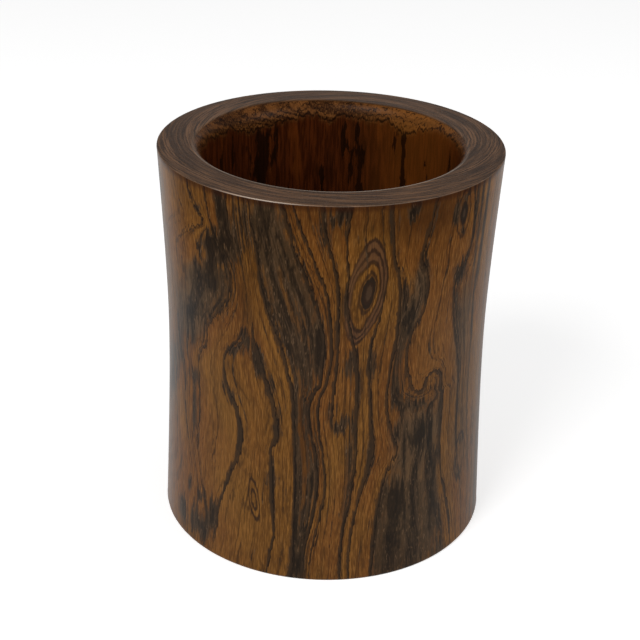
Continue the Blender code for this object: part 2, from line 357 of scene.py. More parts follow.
# Limits of the fields: the pitch is in mm, and the steepest changes are per mm.
WIDEST_PITCH = 50.0
STEEPEST_LEVEL = 0.06
STEEPEST_EYE = 0.08
STEEPEST_STREAK = 0.1
DARKEST_CLOUD = 1.3
DARKEST = 1.35
FAR_FROM_EYES = 3.0

# Line spacing in mm and ink off the outside, where no guides run.
INNER_PITCH = 12.0
INNER_INK = 0.35


def smoothstep(low, high, x):
    t = np.clip((x - low) / (high - low), 0.0, 1.0)
    return t * t * (3.0 - 2.0 * t)


def wrap(angle):
    """An angle brought into -180 to 180 degrees."""
    return (angle + 180.0) % 360.0 - 180.0


def ripple(angle_deg, z_mm, seed, waves, z_scale):
    """Smooth noise around the pot, about -1 to 1: a sum of slanting waves."""
    rng = np.random.default_rng(seed)
    total = 0.0
    for wave in range(1, waves + 1):
        turns = rng.integers(1, 2 + 2 * wave)
        phase, tilt = rng.uniform(0.0, 2.0 * math.pi, 2)
        along = z_mm / z_scale * rng.uniform(0.5, 1.5) * wave ** 0.5
        slant = along * math.cos(tilt) * 2.0
        total = total + np.cos(np.radians(angle_deg) * turns + phase + slant) / wave ** 0.6
    return total / (waves ** 0.5)


def curve_through(heights, values, z_mm):
    """A smooth curve through (height, value) points, at each height."""
    slopes = np.gradient(values, heights)
    z_mm = np.clip(z_mm, heights[0], heights[-1])
    i = np.clip(np.searchsorted(heights, z_mm) - 1, 0, len(heights) - 2)
    span = heights[i + 1] - heights[i]
    t = (z_mm - heights[i]) / span
    start = (2 * t ** 3 - 3 * t ** 2 + 1) * values[i] + (t ** 3 - 2 * t ** 2 + t) * span * slopes[i]
    end = (3 * t ** 2 - 2 * t ** 3) * values[i + 1] + (t ** 3 - t ** 2) * span * slopes[i + 1]
    return start + end


def on_figure(angle, z_mm):
    """The places (angle, height) of the front's figure that a point shows, front and back."""
    return (wrap(angle), z_mm), (wrap(180.0 - angle) / BACK_STRETCH, HEIGHT / MM - z_mm)


def read_guide(points, z_mm):
    """Angle and ink of one guide at each height."""
    heights, angle, ink = np.array(sorted(points), float).T
    return curve_through(heights, angle, z_mm), np.interp(z_mm, heights, ink)


def all_guides(z_mm):
    """Angle and ink of every guide, front and back, at each height: (levels, heights).

    Around the back the guides come mirrored, with a weaker line between each two.
    """
    angles = []
    inks = []
    for points in GUIDES:
        angle, ink = read_guide(points, z_mm)
        angles.append(angle)
        inks.append(ink)
    for index, points in enumerate(reversed(GUIDES)):
        angle, ink = read_guide(points, HEIGHT / MM - z_mm)
        angle = 180.0 - BACK_STRETCH * angle
        if index:
            share = 0.5 + 0.25 * ripple(12.0 * index, z_mm, 11 + index, 4, 50.0)
            angles.append(last_angle + (angle - last_angle) * share)
            inks.append(0.5 * np.minimum(ink, last_ink))
        angles.append(angle + 2.0 * ripple(7.0 * index, z_mm, 61 + index, 3, 70.0))
        inks.append(ink)
        last_angle = angle
        last_ink = ink
    spacing = LEAST_SPACING * np.arange(LEVELS)[:, None]
    return np.maximum.accumulate(np.array(angles) + spacing, axis=0) - spacing, np.array(inks)


def growth_field(angles, z_mm):
    """Growth level and ink at each height and angle: the grids are (heights, angles)."""
    guides, inks = all_guides(z_mm)
    levels = np.arange(LEVELS, dtype=float)
    values = np.concatenate([levels - LEVELS, levels, levels + LEVELS])
    level = np.empty((len(z_mm), len(angles)))
    ink = np.empty_like(level)
    for row in range(len(z_mm)):
        knots = guides[:, row]
        knots = np.concatenate([knots - 360.0, knots, knots + 360.0])
        order = np.argsort(knots, kind="stable")
        level[row] = np.interp(angles, knots[order], values[order])
        ink[row] = np.interp(angles, knots[order], np.tile(inks[:, row], 3)[order])
    for angle, height, half_width, half_height, amount in BUMPS:
        for sign, (across, up) in zip((1.0, -1.0), on_figure(angles[None, :], z_mm[:, None])):
            level += sign * amount * np.exp(
                -((across - angle) / half_width) ** 2 - ((up - height) / half_height) ** 2)
    return level, ink


def eye_field(angle, z_mm):
    """How far out in the nearest eye's rings, its ring count, ring gap in mm and core share.

    The distance is 1 on the outline, which is between an ellipse and a pointed oval.
    """
    shape = np.broadcast(angle, z_mm).shape
    nearest = np.full(shape, FAR_FROM_EYES)
    reach = np.full(shape, FAR_FROM_EYES)
    rings = np.ones(shape)
    gap = np.ones(shape)
    core = np.zeros(shape)
    for stretch, (place, up) in zip((1.0, BACK_STRETCH), on_figure(angle, z_mm)):
        for centre, height, left, right, above, below, lean, bend, count, core_share, crescent in EYES:
            rise = up - height
            side = place - centre - lean * rise - bend * rise ** 2
            across = np.where(side > 0.0, side / right, -side / left)
            along = np.where(rise > 0.0, rise / above, -rise / below)
            pointed = across / 2.0 + np.sqrt(across ** 2 / 4.0 + along ** 2)
            distance = 0.35 * pointed + 0.65 * np.hypot(across, along)
            closer = distance < nearest
            nearest = np.where(closer, distance, nearest)
            lower_left = (-side / left - 0.7 * rise / below) / np.maximum(distance, 0.2)
            clear = crescent * smoothstep(0.0, 0.7, lower_left)
            moved = distance + clear * (np.interp(distance, *zip(*CRESCENT)) - distance)
            reach = np.where(closer, moved, reach)
            rings = np.where(closer, count, rings)
            half_width = math.radians((left + right) / 2.0) * stretch
            gap = np.where(closer, half_width * RIM_RADIUS / MM / count, gap)
            core = np.where(closer, core_share, core)
    return np.minimum(reach, FAR_FROM_EYES), rings, gap, core


def cloud_darkness(angle, z_mm):
    """Sum of the dark clouds, front and back."""
    total = np.zeros(np.broadcast(angle, z_mm).shape)
    for place, up in on_figure(angle, z_mm):
        for centre, height, half_width, half_height, lean, strength in CLOUDS:
            across = (place - centre - lean * (up - height)) / half_width
            along = (up - height) / half_height
            total += strength * np.exp(-(across ** 2 + along ** 2) ** 1.3)
    return np.minimum(total, DARKEST_CLOUD)


def band_darkness(level, z_mm):
    """Sum of the dark bands, front and back, each with crisp sides and soft ends."""
    total = np.zeros_like(level)
    on_front = (level, z_mm)
    on_back = (len(GUIDES) - 1 - (level - len(GUIDES)) / 2.0, HEIGHT / MM - z_mm)
    for place, up in (on_front, on_back):
        for left, right, low, high, strength in BANDS:
            inside = smoothstep(left - 0.02, left + 0.06, place)
            inside = inside * smoothstep(right + 0.02, right - 0.06, place)
            along = smoothstep(low - 5.0, low + 5.0, up) * smoothstep(high + 5.0, high - 5.0, up)
            total += strength * inside * along
    return total


def soft_areas(areas, angle, z_mm, seed, behind):
    """Sum of large soft areas, with smooth noise of this strength around the back."""
    total = behind * ripple(angle, z_mm, seed, 5, 70.0) * smoothstep(50.0, 80.0, np.abs(angle))
    for centre, height, half_width, half_height, amount in areas:
        across = wrap(angle - centre) / half_width
        up = (z_mm - height) / half_height
        total = total + amount * np.exp(-(across ** 2 + up ** 2))
    return total


def shine_amount(angle, z_mm):
    """How glossy the outside is, up to 1: dull below the rim in front, and duller at the sides."""
    below_rim = smoothstep(100.0, 150.0, z_mm) * smoothstep(68.0, 50.0, np.abs(angle))
    edges = np.exp(-((angle - 76.0) / 18.0) ** 2) + 0.35 * np.exp(-((angle + 80.0) / 14.0) ** 2)
    return (1.0 - 0.8 * below_rim) * (1.0 - 0.5 * edges)


def bore_darkness(angle, z_mm):
    """Dark streaks down the bore, swaying a little and fading in at their two ends."""
    total = np.zeros(np.broadcast(angle, z_mm).shape)
    for number, (centre, half_width, top, bottom, strength) in enumerate(BORE_STREAKS):
        slow_sway = 1.3 * ripple(0.0, z_mm, 80 + number, 6, 22.0)
        sway = slow_sway + 0.5 * ripple(0.0, z_mm, 160 + number, 6, 6.0)
        swing = 0.85 + 0.45 * ripple(0.0, z_mm, 120 + number, 6, 7.0)
        across = wrap(angle - centre - sway) / (half_width * np.maximum(swing, 0.3))
        along = smoothstep(bottom - 6.0, bottom + 6.0, z_mm) * smoothstep(top + 3.0, top - 5.0, z_mm)
        total = total + strength * along * np.exp(-np.abs(across) ** 2.5)
    return total


# --------------------------------------------------------------- mesh making


def swell(z):
    """How far the outside stands out from the waist at height z."""
    slope = np.where(z > WAIST_Z, FLARE_SLOPE_ABOVE, FLARE_SLOPE_BELOW)
    return np.hypot(WAIST_BLEND, slope * (z - WAIST_Z)) - WAIST_BLEND


def outside_radius(z):
    return RIM_RADIUS - swell(np.array(HEIGHT)) + swell(z)


def steps(start, end, count):
    """Evenly spaced values after the start, up to the end."""
    return np.linspace(start, end, count + 1)[1:]


def wall_rows(angle):
    """The wall's rows of points, up the outside and down the bore: r, z, zone and edge of each. The edge is
    where a painted highlight lies on the rim's rounded edges.
    """
    lip_wear = 0.5 + 0.5 * ripple(angle, 0.0, 5, 4, 1.0)
    wide_part = np.exp(-(wrap(angle - LIP_WIDE_ANGLE) / LIP_WIDE_HALF_WIDTH) ** 2)
    lip_width = LIP_WIDTH + LIP_WEAR_WIDTH * lip_wear + LIP_WIDE_EXTRA * wide_part
    lip_depth = LIP_DEPTH + LIP_WEAR_DEPTH * lip_wear
    foot_radius = float(outside_radius(np.array(0.0)))
    quarter = np.linspace(0.0, 0.5 * math.pi, ROUND_STEPS + 1)
    rows = []

    def add(r, z, zone, edge=0.0):
        rows.append((r * np.ones_like(angle), z * np.ones_like(angle), zone, edge))

    for t in quarter:
        r = foot_radius - FOOT_EDGE_ROUND * (1.0 - math.sin(t))
        add(r, FOOT_EDGE_ROUND * (1.0 - math.cos(t)), "outside")
    for z in steps(FOOT_EDGE_ROUND, HEIGHT - RIM_EDGE_ROUND, OUTSIDE_STEPS)[:-1]:
        add(float(outside_radius(z)), z, "outside")
    # The rim's rounded outer edge: its edge value is where the painted highlight lies.
    for t in quarter:
        r = RIM_RADIUS - RIM_EDGE_ROUND * (1.0 - math.cos(t))
        z = HEIGHT - RIM_EDGE_ROUND * (1.0 - math.sin(t))
        add(r, z, "outside" if t < RIM_TURN else "rim", math.sin(2.0 * t) ** 2)
    inner = BORE_RADIUS + lip_width
    outer = RIM_RADIUS - RIM_EDGE_ROUND
    for t in (RIM_FIRST_SHARE, *steps(0.0, 1.0, RIM_STEPS)[:-1], RIM_LAST_SHARE):
        add(outer + (inner - outer) * t, HEIGHT, "rim")
    for t in np.linspace(0.0, 0.5 * math.pi, LIP_STEPS + 1):
        r = BORE_RADIUS + lip_width * (1.0 - math.sin(t))
        z = HEIGHT - lip_depth * (1.0 - math.cos(t))
        add(r, z, "rim" if t < LIP_TURN else "bore", float(smoothstep(LIP_EDGE_TURN, 0.0, t)))
    upper_rows = steps(0.0, BORE_FINE_SHARE, BORE_UPPER_STEPS)
    lower_rows = steps(BORE_FINE_SHARE, 1.0, BORE_LOWER_STEPS)
    for t in (*upper_rows, *lower_rows):
        add(BORE_RADIUS, (HEIGHT - lip_depth) * (1.0 - t) + SHOULDER_Z * t, "bore")
    for t in steps(0.0, 1.0, 3):
        add(BORE_RADIUS + (REBATE_RADIUS - BORE_RADIUS) * t, SHOULDER_Z, "foot")
    for t in steps(0.0, 1.0, 4):
        add(REBATE_RADIUS, SHOULDER_Z + (FOOT_INNER_ROUND - SHOULDER_Z) * t, "foot")
    for t in quarter[1:]:
        r = REBATE_RADIUS + FOOT_INNER_ROUND * (1.0 - math.cos(t))
        add(r, FOOT_INNER_ROUND * (1.0 - math.sin(t)), "foot")
    start = REBATE_RADIUS + FOOT_INNER_ROUND
    end = foot_radius - FOOT_EDGE_ROUND
    for t in steps(0.0, 1.0, 7)[:-1]:
        add(start + (end - start) * t, 0.0, "foot")
    r, z, zones, edges = (np.array(column) for column in zip(*rows))
    return r, z, zones[:, None], edges[:, None]


def points_around(r, z, angle, centre=(0.0, 0.0)):
    """Rows of points around an upright axis, as one list of (x, y, z)."""
    x = centre[0] + r * np.sin(np.radians(angle))
    y = centre[1] - r * np.cos(np.radians(angle))
    return np.stack([x, y, z], -1).reshape(-1, 3).tolist()


def new_mesh(name, verts, faces):
    mesh = bpy.data.meshes.new(name)
    mesh.from_pydata(verts, [], faces)
    mesh.update()
    mesh.shade_smooth()
    mesh.set_sharp_from_angle(angle=SMOOTH_ANGLE)
    return mesh


def grid_mesh(name, r, z, angle):
    """A closed surface from rows of points around Z; the rows close on each other."""
    rows, columns = r.shape
    row, column = np.meshgrid(np.arange(rows), np.arange(columns), indexing="ij")
    next_row = (row + 1) % rows
    next_column = (column + 1) % columns
    corners = np.stack([
        row * columns + column, row * columns + next_column,
        next_row * columns + next_column, next_row * columns + column], -1)
    return new_mesh(name, points_around(r, z, angle), corners.reshape(-1, 4).tolist())


def solid_mesh(name, r, z, angle, centre=(0.0, 0.0)):
    """A solid from rows of points around an upright axis, closed at its two ends."""
    rows, columns = r.shape
    verts = points_around(r, z, angle, centre)
    verts.append((*centre, float(z[0].mean())))
    verts.append((*centre, float(z[-1].mean())))
    top = (rows - 1) * columns
    faces = []
    for row in range(rows - 1):
        for column in range(columns):
            here = row * columns + column
            there = row * columns + (column + 1) % columns
            faces.append((here, there, there + columns, here + columns))
    for column in range(columns):
        after = (column + 1) % columns
        faces.append((after, column, rows * columns))
        faces.append((top + column, top + after, rows * columns + 1))
    return new_mesh(name, verts, faces)


def store(mesh, name, values, kind="FLOAT", domain="POINT"):
    """Keep values on a mesh, where its material reads them by name."""
    attribute = mesh.attributes.new(name, kind, domain)
    field = "vector" if kind == "FLOAT_VECTOR" else "value"
    attribute.data.foreach_set(field, values.astype(np.float32).ravel())


def store_seamed(mesh, name, grid, period):
    """A cyclic value on face corners, unwrapped where the columns close."""
    wide = np.concatenate([grid, grid[:, :1] + period], axis=1)
    up = np.roll(wide, -1, axis=0)
    store(mesh, name, np.stack([wide[:, :-1], wide[:, 1:], up[:, 1:], up[:, :-1]], -1), domain="CORNER")


def smooth_around(grid, period):
    """Blur a grid a little along its columns, which close on each other."""
    kernel = np.exp(-0.5 * (np.arange(-BLUR_REACH, BLUR_REACH + 1) / BLUR_COLUMNS) ** 2)
    kernel /= kernel.sum()
    wide = np.concatenate([grid[:, -BLUR_REACH:] - period, grid, grid[:, :BLUR_REACH] + period], axis=1)
    return sum(share * wide[:, i:i + grid.shape[1]] for i, share in enumerate(kernel))


def line_pitch(level, heights):
    """Millimetres from one growth line to the next, on the outside."""
    wide = np.concatenate([level[:, -1:] - LEVELS, level, level[:, :1] + LEVELS], axis=1)
    column = 2.0 * math.pi * outside_radius(heights * MM)[:, None] / MM / level.shape[1]
    across = np.gradient(wide, axis=1)[:, 1:-1] / column
    up = np.gradient(level, heights, axis=0)
    return 1.0 / np.maximum(np.hypot(across, up), 1.0 / WIDEST_PITCH)


def painted_edge_highlight(angle, r):
    """Painted highlight and extra gloss on the rim's two edges: the outer one at front left, the inner one
    in front.
    """
    outer = 0.12 + 0.88 * np.exp(-((angle + 23.0) / 14.0) ** 4)
    inner = 0.06 + 0.42 * smoothstep(90.0, 35.0, np.abs(angle))
    patchy = 0.75 + 0.4 * ripple(angle, 0.0, 41, 9, 1.0)
    return np.where(r > (RIM_RADIUS + BORE_RADIUS) / 2.0, outer, inner) * np.clip(patchy, 0.3, 1.0)


def make_wall():
    angle = np.arange(WALL_SEGMENTS) * 360.0 / WALL_SEGMENTS - 180.0
    around = angle[None, :]
    r, z, zones, edges = wall_rows(angle)
    z_mm = z / MM
    depth = HEIGHT / MM - z_mm
    outside = zones == "outside"
    in_bore = zones == "bore"

    # The figure is worked out on a grid of even heights, and each row of the
    # outside takes the nearest of them.
    heights = np.linspace(0.0, HEIGHT / MM, FIELD_ROWS)
    nearest = np.rint(z_mm.mean(1) / (heights[1] - heights[0])).astype(int)
    nearest = np.clip(nearest, 0, FIELD_ROWS - 1)

    def climb(field):
        """How much a field changes for each millimetre up."""
        return np.gradient(field, heights, axis=0)

    def outer(field, within=0.0):
        """A field on the outside, and another value elsewhere."""
        return np.where(outside, field[nearest], within)

    level, ink = growth_field(angle, heights)
    level = smooth_around(level, LEVELS)
    dark = cloud_darkness(around, heights[:, None]) + band_darkness(level % LEVELS, heights[:, None])
    dark = np.minimum(dark, DARKEST)
    eye, eye_rings, eye_gap, eye_core = eye_field(around, heights[:, None])
    streaks = bore_darkness(around, z_mm)
    streaks_rise = bore_darkness(around, z_mm + 0.5) - bore_darkness(around, z_mm - 0.5)
    # Inside the bore the grain runs straighter.
    sway = 0.9 * ripple(around, z_mm.mean(1)[:, None], 31, 7, 90.0)
    inner_level = around / 10.0 + 5.0 + sway
    inner_share = np.clip((RIM_RADIUS - r) / (RIM_RADIUS - BORE_RADIUS), 0.0, 1.0)
    inner_share = np.where(outside, 0.0, inner_share)
    wall_level = level[nearest] * (1.0 - inner_share) + inner_level * inner_share
    turn = np.radians(wall_level * 360.0 / LEVELS)
    radius = RIM_RADIUS / MM
    x = r * np.sin(np.radians(angle))
    y = -r * np.cos(np.radians(angle))
    pith_distance = np.hypot(x - PITH[0], y - PITH[1]) / MM
    pale_side = np.exp(-(wrap(around - BORE_PALE_ANGLE) / BORE_PALE_HALF_WIDTH) ** 2)

    mesh = grid_mesh("wall_figured", r, z, angle)
    store_seamed(mesh, "level", wall_level, LEVELS)
    grain = np.stack([radius * np.cos(turn), radius * np.sin(turn), z_mm], -1)
    store(mesh, "grain", grain, "FLOAT_VECTOR")
    fields = {
        "pitch": outer(line_pitch(level, heights), INNER_PITCH),
        "ink": outer(ink, INNER_INK),
        "rise": outer(np.clip(climb(level), -STEEPEST_LEVEL, STEEPEST_LEVEL)),
        "ring": pith_distance + 0.6 * ripple(around, z_mm, 17, 6, 60.0),
        "eye": outer(eye, FAR_FROM_EYES),
        "eye_rings": eye_rings[nearest],
        "eye_gap": eye_gap[nearest],
        "eye_core": eye_core[nearest],
        "eye_rise": outer(np.clip(climb(eye), -STEEPEST_EYE, STEEPEST_EYE)),
        "dark": outer(dark, streaks),
        "dark_rise": outer(climb(dark), np.clip(streaks_rise, -STEEPEST_STREAK, STEEPEST_STREAK)),
        "end": (zones == "rim") | (zones == "foot"),
        "bore": in_bore,
        "depth": np.where(in_bore, depth, 0.0),
        "lip": np.where(in_bore, depth - np.interp(angle, *zip(*LIP_LINE)), 0.0),
        "tone": np.where(outside, soft_areas(TONES, around, z_mm, 29, 0.35), -1.0 * in_bore * pale_side),
        "greying_and_sheen": np.where(outside, soft_areas(GREYING_AND_SHEEN, around, z_mm, 37, 0.3), 0.0),
        "edge": edges * painted_edge_highlight(angle, r),
        "shine": np.where(outside, shine_amount(around, z_mm), 1.0),
    }
    for name, values in fields.items():
        store(mesh, name, values + np.zeros_like(r))
    return mesh


def turned(outline, segments):
    """Grids of radius and height, and the angles, for an outline turned around an axis."""
    points = np.array(outline)
    shape = np.ones((1, segments))
    return points[:, :1] * shape, points[:, 1:] * shape, np.arange(segments) * 360.0 / segments


def face_rows(start, end, z):
    """Points (r, z) across a turned face, with shallow marks left by the tool."""
    count = max(2, int(abs(end - start) / TOOL_STEP))
    rows = []
    for r in np.linspace(start, end, count + 1):
        mark = TOOL_DEPTH * (0.5 - 0.5 * math.cos(2.0 * math.pi * r / TOOL_PITCH))
        rows.append((r, z + mark))
    return rows


def corner(centre_r, centre_z, radius, start_deg, end_deg):
    """Points (r, z) along a small rounded corner."""
    turn = np.radians(np.linspace(start_deg, end_deg, ROUND_STEPS + 1))
    return [(centre_r + radius * math.cos(t), centre_z + radius * math.sin(t)) for t in turn]


def make_board():
    """The stepped board around its centre hole, with tool marks and its pin holes."""
    low = BOARD_LOW.z
    high = BOARD_HIGH.z
    flange = BOARD_HIGH.x
    edge = BOARD_EDGE_ROUND
    outline = face_rows(BOARD_HOLE_LOW + edge, flange - edge, low)
    outline += corner(flange - edge, low + edge, edge, -90.0, 0.0)
    outline += [(flange, FLANGE_TOP_Z), (REGISTER_RADIUS, FLANGE_TOP_Z)]
    outline += corner(REGISTER_RADIUS - edge, high - edge, edge, 0.0, 90.0)
    outline += face_rows(REGISTER_RADIUS - edge, BOARD_HOLE_HIGH + edge, high - TOOL_DEPTH)[1:]
    outline += corner(BOARD_HOLE_HIGH + edge, high - edge - TOOL_DEPTH, edge, 90.0, 180.0)[1:]
    outline += corner(BOARD_HOLE_LOW + edge, low + edge, edge, 180.0, 270.0)[:-1]
    return drill(grid_mesh("board_turned", *turned(outline, DISC_SEGMENTS)))


def pin_centre(number):
    turn = math.radians(PIN_ANGLES[number])
    return PIN_CIRCLE_RADIUS * math.cos(turn), PIN_CIRCLE_RADIUS * math.sin(turn)


def add_object(name, data):
    made = bpy.data.objects.new(name, data)
    bpy.context.scene.collection.objects.link(made)
    return made


def drill(mesh):
    """Cut the pin holes through the board."""
    board = add_object("board", mesh)
    radius = (PIN_HIGH.x - PIN_LOW.x) / 2.0 + PIN_CLEARANCE
    rod = turned([(radius, 0.0), (radius, FLANGE_TOP_Z + DRILL_OVERRUN)], PIN_SEGMENTS)
    helpers = [board]
    for number in range(len(PIN_ANGLES)):
        cutter = add_object("cutter", solid_mesh("cutter", *rod, pin_centre(number)))
        modifier = board.modifiers.new("hole", "BOOLEAN")
        modifier.operation = "DIFFERENCE"
        modifier.solver = "EXACT"
        modifier.object = cutter
        helpers.append(cutter)
    bpy.context.view_layer.update()
    depsgraph = bpy.context.evaluated_depsgraph_get()
    drilled = bpy.data.meshes.new_from_object(board.evaluated_get(depsgraph))
    for helper in helpers:
        bpy.data.objects.remove(helper, do_unlink=True)
    drilled.name = "board_drilled"
    drilled.set_sharp_from_angle(angle=SMOOTH_ANGLE)
    return drilled


def make_plug():
    """The tapered plug, with tool marks on its two ends."""
    low = PLUG_LOW.z
    high = PLUG_HIGH.z
    wide = PLUG_HIGH.x
    edge = PLUG_EDGE_ROUND
    outline = face_rows(PLUG_INNER_ROW, wide - edge, low)
    outline += corner(wide - edge, low + edge, edge, -90.0, 0.0)
    outline += corner(PLUG_TOP_RADIUS - edge, high - edge, edge, 0.0, 90.0)
    outline += face_rows(PLUG_TOP_RADIUS - edge, PLUG_INNER_ROW, high - TOOL_DEPTH)[1:]
    return solid_mesh("plug_turned", *turned(outline, PLUG_SEGMENTS))


def make_pin(number):
    """A whittled bamboo pin: uneven flats along it, and a bevelled tip."""
    low = PIN_LOW.z
    high = PIN_HIGH.z
    radius = (PIN_HIGH.x - PIN_LOW.x) / 2.0
    r, z, angle = turned([
        (radius * 0.5, low), (radius * 0.9, low + 0.00002), (radius, low + 0.00015), (radius, low + 0.004),
        (radius * 0.98, high - 0.004), (radius * 0.96, high - 0.0006), (radius * 0.7, high - 0.0001),
        (radius * 0.4, high)], PIN_SEGMENTS)
    flats = 0.96 + 0.04 * np.cos(np.radians(angle * (5 + number % 2) + 40.0 * number))
    return solid_mesh("pin_whittled", r * flats, z, angle, pin_centre(number))


# ----------------------------------------------------------------- materials


def srgb(red, green, blue):
    """A display colour, 0 to 255, as linear RGBA."""
    linear = []
    for value in (red, green, blue):
        value /= 255.0
        linear.append(value / 12.92 if value <= 0.04045 else ((value + 0.055) / 1.055) ** 2.4)
    return (*linear, 1.0)


class Value:
    """A node's output that can be reckoned with: each operation makes a node."""

    def __init__(self, graph, socket):
        self.graph = graph
        self.socket = socket

    def __add__(self, other):
        return self.graph.math("ADD", self, other)

    def __sub__(self, other):
        return self.graph.math("SUBTRACT", self, other)

    def __rsub__(self, other):
        return self.graph.math("SUBTRACT", other, self)

    def __mul__(self, other):
        return self.graph.math("MULTIPLY", self, other)

    def __truediv__(self, other):
        return self.graph.math("DIVIDE", self, other)

    def __abs__(self):
        return self.graph.math("ABSOLUTE", self)

    def pingpong(self, size):
        """Rise and fall between 0 and this size."""
        return self.graph.math("PINGPONG", self, size)

    def centred(self, amount):
        """A noise moved from around 0.5 to around 0, times this amount."""
        return self.graph.math("MULTIPLY_ADD", self, amount, -0.5 * amount)

    def step(self, low, high, start=0.0, end=1.0):
        """Smooth step: start below low, end above high."""
        inputs = {"Value": self, "From Min": low, "From Max": high, "To Min": start, "To Max": end}
        return self.graph.made("MapRange", "Result", inputs, interpolation_type="SMOOTHSTEP")


class Graph:
    """Short names for making and joining a material's nodes."""

    def __init__(self, name):
        self.material = bpy.data.materials.new(name)
        self.material.use_nodes = True
        self.tree = self.material.node_tree
        self.shader = self.tree.nodes["Principled BSDF"]

    def put(self, value, socket):
        """Join a value to a socket, or set the socket to a constant."""
        if isinstance(value, Value):
            self.tree.links.new(value.socket, socket)
        else:
            socket.default_value = value

    def made(self, kind, output, inputs, **settings):
        """A new node's output, with the node's inputs given by name or by number."""
        node = self.tree.nodes.new("ShaderNode" + kind)
        for key, value in settings.items():
            setattr(node, key, value)
        for key, value in inputs.items():
            self.put(value, node.inputs[key])
        return Value(self, node.outputs[output])

    def attribute(self, name, output="Fac"):
        return self.made("Attribute", output, {}, attribute_name=name)

    def millimetres(self):
        """The place on the object, in millimetres."""
        return self.scaled(self.made("TexCoord", "Object", {}), 1000.0, 1000.0, 1000.0)

    def math(self, operation, *values):
        return self.made("Math", 0, dict(enumerate(values)), operation=operation)

    def larger(self, a, b):
        return self.math("MAXIMUM", a, b)

    def scaled(self, vector, x, y, z):
        return self.made("VectorMath", 0, {0: vector, 1: (x, y, z)}, operation="MULTIPLY")

    def combine(self, x, y, z):
        return self.made("CombineXYZ", 0, {0: x, 1: y, 2: z})

    def part(self, vector, axis):
        """One of a vector's three numbers."""
        return self.made("SeparateXYZ", axis, {0: vector})

    def noise(self, vector, scale, detail=2.0, roughness=0.5):
        inputs = {"Vector": vector, "Scale": scale, "Detail": detail, "Roughness": roughness}
        return self.made("TexNoise", "Fac", inputs)

    def streaks(self, vector, rise, scale, detail=2.0, roughness=0.5):
        """Noise that is drawn out along Z: it changes there only this much as fast."""
        return self.noise(self.scaled(vector, 1.0, 1.0, rise), scale, detail, roughness)

    def mix(self, share, below, above):
        """One colour over another. Three plain numbers are a display colour."""
        inputs = {"Factor": share}
        for key, colour in (("A", below), ("B", above)):
            inputs[key] = colour if isinstance(colour, Value) else srgb(*colour)
        return self.made("Mix", "Result", inputs, data_type="RGBA", clamp_factor=True)

    def paint(self, colour, *layers):
        """Lay colours over a first one, each given as (share, colour)."""
        for share, layer in layers:
            colour = self.mix(share, colour, layer)
        return colour

    def ramp(self, value, stops):
        made = self.made("ValToRGB", "Color", {"Fac": value})
        elements = made.socket.node.color_ramp.elements
        while len(elements) < len(stops):
            elements.new(0.5)
        for element, (position, colour) in zip(elements, stops):
            element.position = position
            element.color = srgb(*colour)
        return made

    def surface(self, colour, roughness, relief, bump_strength, bump_depth, gloss):
        """Join colour, roughness, fine relief and gloss to the shader."""
        inputs = {"Strength": bump_strength, "Distance": bump_depth, "Height": relief}
        normal = self.made("Bump", 0, inputs)
        self.put(colour, self.shader.inputs["Base Color"])
        self.put(roughness, self.shader.inputs["Roughness"])
        self.put(normal, self.shader.inputs["Normal"])
        self.put(gloss, self.shader.inputs["Specular IOR Level"])
        return self.material


